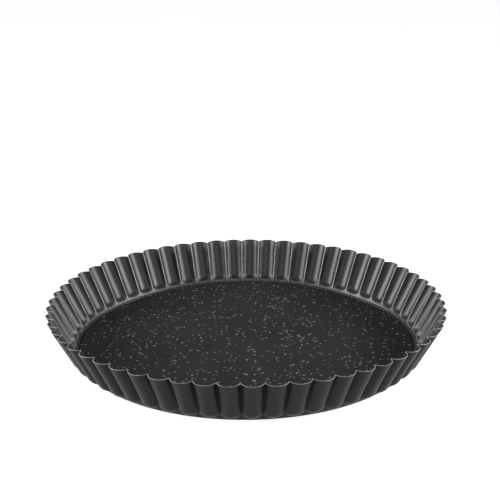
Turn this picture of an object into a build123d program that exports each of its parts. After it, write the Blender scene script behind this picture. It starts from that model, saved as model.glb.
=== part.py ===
"""Fluted tart pan with a loose base, in millimetres.

Two pressed sheets: a fluted ring with an inward flange, and a flat round base plate that drops into a
shallow seat in that flange and lifts straight out. The flutes fade out above a plain round foot. The
origin is on the axis, on the surface that the pan stands on, and +Z points up, towards the rim.
"""

import os
from math import cos, pi, sin, sqrt

from build123d import *

# Driving dimensions
FLUTES = 59
RIM_CREST_RADIUS = 140.0  # outside of the flutes at the rim
RIM_RIDGE_RADIUS = 134.4  # sharp ridges between the flutes at the rim, on the inside
FOOT_CREST_RADIUS = 123.2  # the same two on the inside, carried down to the ledge
FOOT_RIDGE_RADIUS = 120.2
FOOT_BULGE = 0.3  # all that is left of the flutes below the height where they begin
FLUTE_START = 3.0
FLUTE_FULL = 8.0  # height where they reach their full depth
RIM_HEIGHT = 32.0
SHEET = 0.6  # thickness of the ring's sheet
WALL_ACROSS = 0.67  # the leaning wall's thickness, measured level
HOLE_RADIUS = 95.5
PLATE_RADIUS = 118.5
PLATE_THICKNESS = 1.0
SEAT_CLEARANCE = 0.4  # around the plate's edge
FOOT_ROUNDING = 0.45  # outer corner under the seat
PLATE_ROUNDING = 0.3
HOLE_ROUNDING = 0.2

# Worked out from them
HALF_PITCH = pi / FLUTES
SEAT_RADIUS = PLATE_RADIUS + SEAT_CLEARANCE
LEDGE_TOP = SHEET + PLATE_THICKNESS  # the ledge is level with the seated plate
LEDGE_UNDERSIDE = LEDGE_TOP - SHEET
CUT_MARGIN = 5.0  # how far the cutting shapes run past the rim


def on_circle(radius, angle):
    """Point at that radius and angle in the XY plane."""
    return (radius * cos(angle), radius * sin(angle))


def flute_arc(ridge_radius, crest_radius):
    """Centre distance and radius of the arc from ridge to crest to ridge."""
    half_chord = ridge_radius * sin(HALF_PITCH)
    rise = crest_radius - ridge_radius * cos(HALF_PITCH)
    radius = (half_chord**2 + rise**2) / (2 * rise)
    return crest_radius - radius, radius


def fluted_outline(ridge_radius, crest_radius, thicker=0.0):
    """Closed line of arcs that bulge outwards and meet in ridges, moved out by thicker."""
    centre, radius = flute_arc(ridge_radius, crest_radius)
    radius += thicker
    ridge = centre * cos(HALF_PITCH) + sqrt(radius**2 - (centre * sin(HALF_PITCH)) ** 2)
    crest = centre + radius
    for flute in range(FLUTES):
        middle = HALF_PITCH * (2 * flute + 1)
        ThreePointArc(
            on_circle(ridge, middle - HALF_PITCH),
            on_circle(crest, middle),
            on_circle(ridge, middle + HALF_PITCH),
        )


def wall_face(height, thicker=0.0):
    """Outline of the wall's inside at a height, moved out by thicker."""
    share = (height - LEDGE_TOP) / (RIM_HEIGHT - LEDGE_TOP)
    ridge_radius = FOOT_RIDGE_RADIUS + share * (RIM_RIDGE_RADIUS - FOOT_RIDGE_RADIUS)
    crest_radius = FOOT_CREST_RADIUS + share * (RIM_CREST_RADIUS - WALL_ACROSS - FOOT_CREST_RADIUS)
    if height <= FLUTE_START:
        crest_radius = ridge_radius + FOOT_BULGE
    with BuildSketch(Plane.XY.offset(height)) as face:
        with BuildLine():
            fluted_outline(ridge_radius, crest_radius, thicker)
        make_face()
    return face.sketch

# Fluted ring: wall, ledge, seat and inward flange, all one sheet
with BuildPart() as fluted_ring:
    outside_heights = (LEDGE_UNDERSIDE, FLUTE_START, FLUTE_FULL, RIM_HEIGHT)
    loft([wall_face(height, WALL_ACROSS) for height in outside_heights], ruled=True)
    inside_heights = (LEDGE_TOP, FLUTE_START, FLUTE_FULL, RIM_HEIGHT + CUT_MARGIN)
    loft([wall_face(height) for height in inside_heights], ruled=True, mode=Mode.SUBTRACT)
    with BuildSketch(Plane.XY.offset(LEDGE_UNDERSIDE)):
        Circle(SEAT_RADIUS)
    extrude(amount=SHEET, mode=Mode.SUBTRACT)
    with BuildSketch(Plane.XZ) as flange_profile:
        with BuildLine():
            Polyline(
                (HOLE_RADIUS, 0),
                (SEAT_RADIUS + SHEET, 0),
                (SEAT_RADIUS + SHEET, LEDGE_TOP),
                (SEAT_RADIUS, LEDGE_TOP),
                (SEAT_RADIUS, SHEET),
                (HOLE_RADIUS, SHEET),
                close=True,
            )
        make_face()
        foot_corner = flange_profile.vertices().group_by(Axis.Y)[0].sort_by(Axis.X)[-1]
        fillet(foot_corner, FOOT_ROUNDING)
        hole_corners = flange_profile.vertices().group_by(Axis.X)[0]
        fillet(hole_corners, HOLE_ROUNDING)
    revolve(axis=Axis.Z)

# Loose base: a flat disc that rests on the flange, inside the seat
with BuildPart() as base_plate:
    with BuildSketch(Plane.XY.offset(SHEET)):
        Circle(PLATE_RADIUS)
    extrude(amount=PLATE_THICKNESS)
    fillet(base_plate.edges().filter_by(GeomType.CIRCLE), PLATE_ROUNDING)

os.makedirs("parts", exist_ok=True)
for label, piece in (("fluted_ring", fluted_ring), ("base_plate", base_plate)):
    piece.part.label = label
    export_step(piece.part, f"parts/{label}.step")
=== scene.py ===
"""Looks of the fluted tart pan, in metres: ring, loose base plate, studio floor, lights and camera."""

from math import atan2, cos, hypot, pi, radians, sin

import bpy
import numpy as np
from mathutils import Matrix, Vector


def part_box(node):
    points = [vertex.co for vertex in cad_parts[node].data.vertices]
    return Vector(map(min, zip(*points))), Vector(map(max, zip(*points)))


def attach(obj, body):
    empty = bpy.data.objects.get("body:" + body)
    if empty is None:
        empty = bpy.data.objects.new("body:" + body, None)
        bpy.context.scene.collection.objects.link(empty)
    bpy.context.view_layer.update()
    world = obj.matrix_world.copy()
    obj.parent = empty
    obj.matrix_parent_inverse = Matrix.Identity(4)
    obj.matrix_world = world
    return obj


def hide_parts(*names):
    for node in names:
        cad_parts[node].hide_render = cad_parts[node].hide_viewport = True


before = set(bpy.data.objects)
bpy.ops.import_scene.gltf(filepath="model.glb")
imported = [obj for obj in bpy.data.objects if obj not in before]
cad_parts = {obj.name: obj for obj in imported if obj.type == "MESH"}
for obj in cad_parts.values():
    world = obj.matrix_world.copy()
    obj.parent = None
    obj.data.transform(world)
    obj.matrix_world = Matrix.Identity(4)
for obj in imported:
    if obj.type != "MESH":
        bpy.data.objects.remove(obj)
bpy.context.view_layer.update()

MM = 0.001

# The ring, taken from the frame where it can be
ring_low, ring_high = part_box("fluted_ring")
plate_low, plate_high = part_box("base_plate")
RIM_HEIGHT = ring_high[2]
RIM_CREST = -ring_low[0]
PLATE_RADIUS = plate_high[0]
FLUTES = 59
SHEET = 0.6 * MM
RIM_RIDGE = 134.4 * MM  # inside of the ridges between the flutes
FOOT_CREST = 123.2 * MM  # inside of the flutes at the foot
FOOT_RIDGE = 120.2 * MM
HOLE_RADIUS = 95.5 * MM
SEAT_RADIUS = 118.9 * MM
LEDGE_TOP = 1.6 * MM
FOLD_RADIUS = 0.5 * MM  # middle of the sheet, in the folds that make the ridges
STEP_BEND = 0.45 * MM  # the same at the two bends of the seat's step
COVE = 0.7 * MM  # how far the bend from ledge to wall reaches
FLUTE_START = 2.7 * MM  # height where the middle of a flute begins
FLUTE_ROUND = 3.0 * MM  # how much higher its sides begin, which rounds its end
FLUTE_SCOOP = 3.6 * MM  # height over which it reaches its full depth
HALF_WALL = 0.335 * MM  # half the wall's thickness, measured level

# Pale lines on the ring, which stand in for the fine highlights on its folds: 0 is none and 1 is full
RIDGE_HIGHLIGHT = 0.8
BESIDE_RIDGE_HIGHLIGHT = 0.32
EDGE_HIGHLIGHT = 0.35
LIP_HIGHLIGHT = 0.15
LIP_WIDTH = 0.32 * MM  # of the line round a flute's lower end
LIP_LEAST_DEPTH = 0.1  # that line stops where the flute has less than this share of its depth

# Mesh density
FOLD_STEPS = 3
FLUTE_STEPS = 6
BEND_STEPS = 4
COVE_STEPS = 4
SCOOP_STEPS = 20
WALL_STEPS = 5
EDGE_STEPS = 4
FLANGE_ROWS = (0, 0.02, 0.35, 0.7)  # shares of the way from the hole to the seat's step
PLATE_ROWS = (0.12, 0.3, 0.5, 0.7, 0.88, 0.985, 1)  # shares of the way from the middle to the edge
PLATE_EDGE_STEPS = 10
PLATE_SEGMENTS = 256

# Noise: scale, detail and, where it isn't 0.5, roughness
RING_CLOUDS = (28.0, 3.0, 0.55)
RING_PEEL = (900.0, 2.0)
# noise that makes the painted highlight lines uneven
HIGHLIGHT_CLOUDS = (160.0, 3.0)
PLATE_CLOUDS = (22.0, 3.0)
PLATE_GRAIN = (1400.0,)
FLOOR_CLOUDS = (3.0,)
NOISE_SPAN = (0.3, 0.7)  # the values that most of a noise lies between
NARROW_SPAN = (0.35, 0.65)

# Coats: two greys or two roughnesses are the ends of a range, and a bump is a strength and a distance
COAT_TINT = 1.03  # blue beside red and green
# tint of the ring's painted highlight lines
HIGHLIGHT_TINT = 1.02
RING_GREYS = (0.0018, 0.0027)
# grey of the ring's painted highlight lines, and the range of their strength
RING_HIGHLIGHT_GREY = 0.22
HIGHLIGHT_STRENGTHS = (0.5, 1.0)
RING_ROUGHNESS = (0.4, 0.48)
RING_SPECULAR = 0.18
RING_BUMP = (0.06, 0.2 * MM)
PLATE_GREYS = (0.0066, 0.0088)
# near-black grey painted on the plate's rounded edge as shade
PLATE_EDGE_SHADE_GREY = 0.0008
PLATE_ROUGHNESS = (0.75, 0.85)
PLATE_SPECULAR = 0.006
PLATE_BUMP = (0.2, 0.2 * MM)

# Flecks: each layer has a direction in radians, a cell width in mm, its length as a multiple of that,
# and the share of the cells that have a fleck
FLECK_LAYERS = ((0.2, 2.6, 1.7, 0.08), (1.0, 2.3, 1.9, 0.07), (1.9, 2.8, 1.5, 0.09), (2.7, 2.1, 2.1, 0.06))
FLECK_GREY = 0.06
FLECK_REACH = (0.11, 0.27)  # smallest and largest radius in a cell
FLECK_TONES = (0.45, 1.0)
FLECK_RISE = 0.4  # in the bump, beside 1 for the grain
FIRST_SEED = 1
SEED_STEP = 3.1
SIDEWAYS_SEED = 2.7

# Floor and world
FLOOR_HALF = 12.0
FLOOR_TONES = (0.09, 0.1)
FLOOR_ROUGHNESS = 0.9
FLOOR_GLOW = 0.9
WORLD_STRENGTH = 0.72

# Soft lights, all aimed at the origin: name, place, width and height, watts
LIGHTS = (
    ("left", (-1.3, 0.05, 0.66), (0.9, 0.5), 72),
    ("right", (1.3, 0.05, 0.66), (0.9, 0.5), 72),
    ("front", (0.1, -1.2, 1.0), (1.2, 0.5), 18),
)

# Camera
CAMERA_PLACE = (0.0, -0.6668, 0.2906)
CAMERA_PITCH = radians(18.39)
CAMERA_YAW = radians(0.24)
CAMERA_ROLL = radians(-0.23)
CAMERA_LENS = 72.7
SENSOR_WIDTH = 36.0

HALF_PITCH = pi / FLUTES
HALF_SHEET = SHEET / 2


# ---------------------------------------------------------------- ring


def half_flute(tip, crest):
    """Middle line of the sheet from a ridge to the next crest, as polar angles and radii."""
    fold_centre = tip + FOLD_RADIUS
    span_squared = fold_centre**2 + crest**2 - 2 * fold_centre * crest * cos(HALF_PITCH)
    radius = (span_squared - FOLD_RADIUS**2) / (
        2 * (crest - fold_centre * cos(HALF_PITCH) + FOLD_RADIUS)
    )
    centre = crest - radius
    centre_x, centre_y = centre * cos(HALF_PITCH), centre * sin(HALF_PITCH)
    turn = atan2(centre_y, fold_centre - centre_x)
    points = []
    for step in range(FOLD_STEPS):
        angle = turn * step / FOLD_STEPS
        points.append((fold_centre - FOLD_RADIUS * cos(angle), FOLD_RADIUS * sin(angle)))
    for step in range(FLUTE_STEPS + 1):
        angle = -turn + (HALF_PITCH + turn) * step / FLUTE_STEPS
        points.append((centre_x + radius * cos(angle), centre_y + radius * sin(angle)))
    return [(atan2(y, x), hypot(x, y)) for x, y in points]


def outline(tip, crest):
    """Angles and radii of the middle line all the way round."""
    half = half_flute(tip, crest)
    flute = half + [(2 * HALF_PITCH - angle, radius) for angle, radius in half[-2:0:-1]]
    angles = [2 * HALF_PITCH * n + angle for n in range(FLUTES) for angle, _ in flute]
    radii = [radius for _ in range(FLUTES) for _, radius in flute]
    return np.array(angles), np.array(radii)


def bend(start, corner, end, steps):
    """Points on a smooth bend that leaves start and reaches end, with the corner between them."""
    shares = np.linspace(0, 1, steps + 1)
    return [(1 - s) ** 2 * start + 2 * s * (1 - s) * corner + s**2 * end for s in shares]


def wall_outline(height):
    """Angles and radii of the wall's middle line at a height, and each point's share of the painted
    highlight line.
    """
    share = (height - LEDGE_TOP) / (RIM_HEIGHT - LEDGE_TOP)
    tip = FOOT_RIDGE + HALF_WALL + share * (RIM_RIDGE - FOOT_RIDGE)
    crest = FOOT_CREST + HALF_WALL + share * (RIM_CREST - 2 * HALF_WALL - FOOT_CREST)
    angles, radii = outline(tip, crest)
    depth = radii - tip
    side = abs(angles % (2 * HALF_PITCH) - HALF_PITCH) / HALF_PITCH
    start = FLUTE_START + FLUTE_ROUND * side**3
    risen = np.clip((height - start) / FLUTE_SCOOP, 0, 1)
    deep = depth > LIP_LEAST_DEPTH * depth.max()
    lip_highlight = np.exp(-(((height - start) / LIP_WIDTH) ** 2)) * deep
    return angles, tip + depth * np.sqrt(1 - (1 - risen) ** 2), lip_highlight


def ring_middle():
    """Middle of the ring's sheet, in rows from the hole to the rim, and the wall rows' painted highlight
    lines.
    """
    ledge = LEDGE_TOP - HALF_SHEET
    step = SEAT_RADIUS + HALF_SHEET
    angles, foot, _ = wall_outline(ledge)
    foot = foot.min()
    rows, lip_highlights = [], []

    def add(radius, height, angle=angles):
        level = np.full(len(angles), height)
        rows.append(np.stack([radius * np.cos(angle), radius * np.sin(angle), level], 1))

    for share in FLANGE_ROWS:
        add(HOLE_RADIUS + HALF_SHEET + share * (step - HOLE_RADIUS), HALF_SHEET)
    slope = (RIM_RIDGE - FOOT_RIDGE) / (RIM_HEIGHT - LEDGE_TOP)
    rise = COVE / hypot(1, slope)
    bends = (
        (BEND_STEPS, (step - STEP_BEND, HALF_SHEET), (step, HALF_SHEET), (step, HALF_SHEET + STEP_BEND)),
        (BEND_STEPS, (step, ledge - STEP_BEND), (step, ledge), (step + STEP_BEND, ledge)),
        (COVE_STEPS, (foot - COVE, ledge), (foot, ledge), (foot + rise * slope, ledge + rise)),
    )
    for steps, *corner in bends:
        for radius, height in bend(*map(np.array, corner), steps):
            add(radius, height)
    scoop_top = FLUTE_START + FLUTE_ROUND + FLUTE_SCOOP
    heights = list(np.linspace(FLUTE_START, scoop_top, SCOOP_STEPS + 1))
    heights += list(np.linspace(scoop_top, RIM_HEIGHT - HALF_SHEET, WALL_STEPS + 1))[1:]
    for height in heights:
        angle, radius, lip_highlight = wall_outline(height)
        add(radius, height, angle)
        lip_highlights.append(lip_highlight)
    return np.array(rows), np.array(lip_highlights)


def directions(points, axis, closed):
    """Unit tangents along an axis of a grid of points, averaged between the two sides."""
    ahead = np.roll(points, -1, axis) - points
    ahead /= np.linalg.norm(ahead, axis=2, keepdims=True)
    behind = np.roll(ahead, 1, axis)
    if not closed:
        behind[0] = ahead[0]
        ahead[-1] = behind[-1]
    both = ahead + behind
    return both / np.linalg.norm(both, axis=2, keepdims=True)


def grid_mesh(name, points, normals, painted_light_and_shade_values):
    """A mesh that closes on itself both ways, with its own normals and a painted light and shade value at
    each vertex.
    """
    rows, columns = points.shape[:2]
    index = np.arange(rows * columns).reshape(rows, columns)
    right = np.roll(index, -1, 1)
    faces = np.stack([index, np.roll(index, -1, 0), np.roll(right, -1, 0), right], 2).reshape(-1, 4)
    mesh = bpy.data.meshes.new(name)
    mesh.from_pydata(points.reshape(-1, 3).tolist(), [], faces.tolist())
    finish_mesh(mesh, normals.reshape(-1, 3), painted_light_and_shade_values.reshape(-1))
    return mesh


def finish_mesh(mesh, normals, painted_light_and_shade_values):
    """Smooth shading from the given normals, and the painted light and shade values as an attribute for the
    material.
    """
    mesh.update()
    mesh.shade_smooth()
    mesh.normals_split_custom_set_from_vertices(normals.tolist())
    attribute = mesh.attributes.new("mark", "FLOAT", "POINT")
    attribute.data.foreach_set("value", painted_light_and_shade_values.astype(np.float32))


def make_ring():
    """The ring's sheet: both faces of its middle, joined by a rounded edge at the rim and at the hole."""
    middle, lip_highlights = ring_middle()
    around = directions(middle, 1, True)
    along = directions(middle, 0, False)
    normals = np.cross(along, around)
    normals /= np.linalg.norm(normals, axis=2, keepdims=True)
    normals *= np.sign(normals[0, :, 2:].mean())  # up on the flange, inwards on the wall
    turns = [pi * step / EDGE_STEPS for step in range(1, EDGE_STEPS)]
    out = -normals
    rim = [
        (middle[-1] + HALF_SHEET * (cos(t) * normals[-1] + sin(t) * along[-1]),
         cos(t) * normals[-1] + sin(t) * along[-1])
        for t in turns
    ]
    hole = [
        (middle[0] + HALF_SHEET * (cos(t) * out[0] - sin(t) * along[0]),
         cos(t) * out[0] - sin(t) * along[0])
        for t in turns
    ]
    points = np.concatenate([
        middle + HALF_SHEET * normals,
        np.array([p for p, _ in rim]),
        (middle - HALF_SHEET * normals)[::-1],
        np.array([p for p, _ in hole]),
    ])
    facing = np.concatenate([
        normals,
        np.array([n for _, n in rim]),
        out[::-1],
        np.array([n for _, n in hole]),
    ])
    rows, columns = points.shape[:2]
    # painted highlights: pale lines on the cut edges at the rim and hole, on the ridges and round the
    # flutes' lower ends
    painted_light_and_shade_values = np.zeros((rows, columns))
    count = len(middle)
    painted_light_and_shade_values[count:count + len(turns)] = EDGE_HIGHLIGHT
    painted_light_and_shade_values[-len(turns):] = EDGE_HIGHLIGHT
    flute = 2 * (FOLD_STEPS + FLUTE_STEPS)
    place = np.arange(columns) % flute
    from_ridge = np.minimum(place, flute - place)
    ridge = np.where(from_ridge == 0, RIDGE_HIGHLIGHT, np.where(from_ridge == 1, BESIDE_RIDGE_HIGHLIGHT, 0.0))
    painted_light_and_shade_values[count - len(lip_highlights):count] = np.maximum(LIP_HIGHLIGHT * lip_highlights, ridge)
    ring = bpy.data.objects.new("ring_shell", grid_mesh("ring_shell", points, facing, painted_light_and_shade_values))
    bpy.context.scene.collection.objects.link(ring)
    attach(ring, "ring")
    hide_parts("fluted_ring")
    return ring


# ---------------------------------------------------------------- base plate


def make_plate():
    """The base plate: a flat disc with a half-round edge, which carries the painted shade."""
    low, high = plate_low[2], plate_high[2]
    middle = (low + high) / 2
    half = (high - low) / 2
    flat = PLATE_RADIUS - half
    top = [(flat * share, high, 0.0) for share in PLATE_ROWS]
    # the edge rows take the painted shade in full, the flat rows none
    edge = []
    for step in range(1, PLATE_EDGE_STEPS):
        angle = pi * step / PLATE_EDGE_STEPS
        edge.append((flat + half * sin(angle), middle + half * cos(angle), 1.0))
    bottom = [(radius, low, mark) for radius, _, mark in reversed(top)]
    profile = top + edge + bottom
    angles = np.arange(PLATE_SEGMENTS) * 2 * pi / PLATE_SEGMENTS
    points = [(0, 0, high)]
    normals = [(0, 0, 1)]
    painted_light_and_shade_values = [0.0]
    for radius, height, mark in profile:
        out = max(radius - flat, 0) / half
        up = (height - middle) / half
        for angle in angles:
            points.append((radius * cos(angle), radius * sin(angle), height))
            normals.append((out * cos(angle), out * sin(angle), up))
            painted_light_and_shade_values.append(mark)
    points.append((0, 0, low))
    normals.append((0, 0, -1))
    painted_light_and_shade_values.append(0.0)
    faces = []
    for row in range(len(profile) - 1):
        for column in range(PLATE_SEGMENTS):
            here = 1 + row * PLATE_SEGMENTS + column
            beside = 1 + row * PLATE_SEGMENTS + (column + 1) % PLATE_SEGMENTS
            faces.append((here, here + PLATE_SEGMENTS, beside + PLATE_SEGMENTS, beside))
    last = 1 + (len(profile) - 1) * PLATE_SEGMENTS
    for column in range(PLATE_SEGMENTS):
        beside = (column + 1) % PLATE_SEGMENTS
        faces.append((0, 1 + column, 1 + beside))
        faces.append((len(points) - 1, last + beside, last + column))
    mesh = bpy.data.meshes.new("plate_disc")
    mesh.from_pydata(points, [], faces)
    finish_mesh(mesh, np.array(normals, float), np.array(painted_light_and_shade_values))
    plate = bpy.data.objects.new("plate_disc", mesh)
    bpy.context.scene.collection.objects.link(plate)
    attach(plate, "base")
    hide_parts("base_plate")
    return plate


# ---------------------------------------------------------------- materials


class Nodes:
    """A material's node tree, with short calls for the nodes used here."""

    def __init__(self, name):
        self.material = bpy.data.materials.new(name)
        self.material.use_nodes = True
        self.tree = self.material.node_tree
        self.shader = self.tree.nodes["Principled BSDF"]

    def add(self, kind, **inputs):
        node = self.tree.nodes.new("ShaderNode" + kind)
        for name, value in inputs.items():
            self.put(node.inputs[name.replace("_", " ")], value)
        return node

    def put(self, socket, value):
        if isinstance(value, bpy.types.NodeSocket):
            self.tree.links.new(value, socket)
        else:
            socket.default_value = value

    def math(self, operation, a, b=0.0, clamp=False):
        node = self.tree.nodes.new("ShaderNodeMath")
        node.operation = operation
        node.use_clamp = clamp
        self.put(node.inputs[0], a)
        self.put(node.inputs[1], b)
        return node.outputs[0]

    def scaled(self, value, span, to=(0, 1)):
        """A value moved from one span to another, and held inside it."""
        node = self.add("MapRange", From_Min=span[0], From_Max=span[1], To_Min=to[0], To_Max=to[1])
        self.put(node.inputs["Value"], value)
        return node.outputs["Result"]

    def mix(self, share, a, b):
        node = self.tree.nodes.new("ShaderNodeMix")
        node.data_type = "RGBA"
        self.put(node.inputs["Factor"], share)
        self.put(node.inputs["A"], a)
        self.put(node.inputs["B"], b)
        return node.outputs["Result"]

    def coordinates(self, turn=0.0, stretch=(1, 1, 1)):
        place = self.tree.nodes.new("ShaderNodeTexCoord").outputs["Object"]
        turned = self.add("Mapping", Vector=place, Rotation=(0, 0, turn))
        stretched = self.add("Mapping", Vector=turned.outputs[0], Scale=stretch)
        return stretched.outputs[0]

    def noise(self, scale, detail=2.0, roughness=0.5):
        node = self.add("TexNoise", Vector=self.coordinates(), Scale=scale, Detail=detail)
        node.inputs["Roughness"].default_value = roughness
        return node.outputs["Fac"]

    def bump(self, height, strength, distance):
        node = self.add("Bump", Height=height, Strength=strength, Distance=distance)
        self.put(self.shader.inputs["Normal"], node.outputs[0])

    # the painted light and shade stored on each vertex: highlight lines on the ring, shade on the plate's
    # edge
    def mark(self):
        node = self.tree.nodes.new("ShaderNodeAttribute")
        node.attribute_name = "mark"
        return node.outputs["Fac"]


def grey(value, tint=1.0):
    return (value, value, value * tint, 1)


def ring_material():
    """Satin black coating: faint orange peel, cloudy gloss, and pale lines painted on as highlights."""
    nodes = Nodes("ring_coating")
    clouds = nodes.noise(*RING_CLOUDS)
    peel = nodes.noise(*RING_PEEL)
    # painted highlights: the pale lines, made uneven by noise, laid over the coating's body colour
    uneven = nodes.scaled(nodes.noise(*HIGHLIGHT_CLOUDS), NARROW_SPAN, HIGHLIGHT_STRENGTHS)
    lines = nodes.math("MULTIPLY", nodes.mark(), uneven)
    dark, light = [grey(value, COAT_TINT) for value in RING_GREYS]
    body = nodes.mix(nodes.scaled(clouds, NARROW_SPAN), dark, light)
    colour = nodes.mix(lines, body, grey(RING_HIGHLIGHT_GREY, HIGHLIGHT_TINT))
    nodes.put(nodes.shader.inputs["Base Color"], colour)
    nodes.put(nodes.shader.inputs["Roughness"], nodes.scaled(clouds, NOISE_SPAN, RING_ROUGHNESS))
    nodes.shader.inputs["Specular IOR Level"].default_value = RING_SPECULAR
    nodes.bump(peel, *RING_BUMP)
    return nodes.material


def fleck_layer(nodes, turn, size, length, density, seed):
    """Sparse short strokes, all along one direction: the middles of a few stretched cells."""
    place = nodes.coordinates(turn, (1 / (size * length), 1 / size, 1 / size))
    shifted = nodes.add("Mapping", Vector=place, Location=(seed, SIDEWAYS_SEED * seed, 0))
    cells = nodes.add("TexVoronoi", Vector=shifted.outputs[0], Scale=1.0)
    cells.voronoi_dimensions = "2D"
    chance = nodes.add("SeparateColor", Color=cells.outputs["Color"])
    kept = nodes.math("LESS_THAN", chance.outputs[0], density)
    reach = nodes.scaled(chance.outputs[1], (0, 1), FLECK_REACH)
    inside = nodes.math("LESS_THAN", cells.outputs["Distance"], reach)
    tone = nodes.scaled(chance.outputs[2], (0, 1), FLECK_TONES)
    return nodes.math("MULTIPLY", nodes.math("MULTIPLY", kept, inside), tone)


def plate_material():
    """Matt charcoal coating with sparse pale flecks, and a near-black edge painted on as shade."""
    nodes = Nodes("flecked_coating")
    flecks = 0.0
    for number, (turn, size, length, density) in enumerate(FLECK_LAYERS):
        seed = FIRST_SEED + SEED_STEP * number
        layer = fleck_layer(nodes, turn, size * MM, length, density, seed)
        flecks = nodes.math("MAXIMUM", flecks, layer)
    clouds = nodes.noise(*PLATE_CLOUDS)
    dark, light = [grey(value, COAT_TINT) for value in PLATE_GREYS]
    body = nodes.mix(nodes.scaled(clouds, NOISE_SPAN), dark, light)
    speckled = nodes.mix(flecks, body, grey(FLECK_GREY))
    # painted shade: near-black on the rounded edge, which also loses its specular
    edge_shaded = nodes.mix(nodes.mark(), speckled, grey(PLATE_EDGE_SHADE_GREY))
    specular = nodes.scaled(nodes.mark(), (0, 1), (PLATE_SPECULAR, 0.0))
    nodes.put(nodes.shader.inputs["Base Color"], edge_shaded)
    nodes.put(nodes.shader.inputs["Roughness"], nodes.scaled(clouds, NOISE_SPAN, PLATE_ROUGHNESS))
    nodes.put(nodes.shader.inputs["Specular IOR Level"], specular)
    risen = nodes.math("MULTIPLY", flecks, FLECK_RISE)
    nodes.bump(nodes.math("ADD", nodes.noise(*PLATE_GRAIN), risen), *PLATE_BUMP)
    return nodes.material


def floor_material():
    """Pale floor that glows a little, so that it comes out white."""
    nodes = Nodes("pale_floor")
    nodes.shader.inputs["Roughness"].default_value = FLOOR_ROUGHNESS
    nodes.shader.inputs["Specular IOR Level"].default_value = 0.0
    tone = nodes.scaled(nodes.noise(*FLOOR_CLOUDS), NOISE_SPAN, FLOOR_TONES)
    nodes.put(nodes.shader.inputs["Base Color"], tone)
    nodes.shader.inputs["Emission Color"].default_value = grey(1)
    nodes.shader.inputs["Emission Strength"].default_value = FLOOR_GLOW
    return nodes.material


# ---------------------------------------------------------------- studio


def make_floor():
    half = FLOOR_HALF
    corners = [(-half, -half, 0), (half, -half, 0), (half, half, 0), (-half, half, 0)]
    mesh = bpy.data.meshes.new("floor")
    mesh.from_pydata(corners, [], [(0, 1, 2, 3)])
    mesh.materials.append(floor_material())
    floor = bpy.data.objects.new("floor", mesh)
    bpy.context.scene.collection.objects.link(floor)


def soft_light(name, place, size, power):
    light = bpy.data.lights.new(name, "AREA")
    light.shape = "RECTANGLE"
    light.size, light.size_y = size
    light.energy = power
    lamp = bpy.data.objects.new(name, light)
    lamp.location = place
    lamp.rotation_euler = (-Vector(place)).to_track_quat("-Z", "Y").to_euler()
    bpy.context.scene.collection.objects.link(lamp)


def make_world():
    world = bpy.data.worlds.new("studio")
    world.use_nodes = True
    background = world.node_tree.nodes["Background"]
    background.inputs["Color"].default_value = grey(1)
    background.inputs["Strength"].default_value = WORLD_STRENGTH
    bpy.context.scene.world = world


def make_camera():
    data = bpy.data.cameras.new("camera")
    data.lens = CAMERA_LENS
    data.sensor_width = SENSOR_WIDTH
    camera = bpy.data.objects.new("camera", data)
    camera.location = CAMERA_PLACE
    turned = Matrix.Rotation(-CAMERA_YAW, 3, "Z") @ Matrix.Rotation(pi / 2 - CAMERA_PITCH, 3, "X")
    camera.rotation_euler = (turned @ Matrix.Rotation(CAMERA_ROLL, 3, "Z")).to_euler()
    bpy.context.scene.collection.objects.link(camera)
    bpy.context.scene.camera = camera


make_ring().data.materials.append(ring_material())
make_plate().data.materials.append(plate_material())
make_floor()
make_world()
for light in LIGHTS:
    soft_light(*light)
make_camera()
bpy.context.scene.view_settings.view_transform = "Standard"
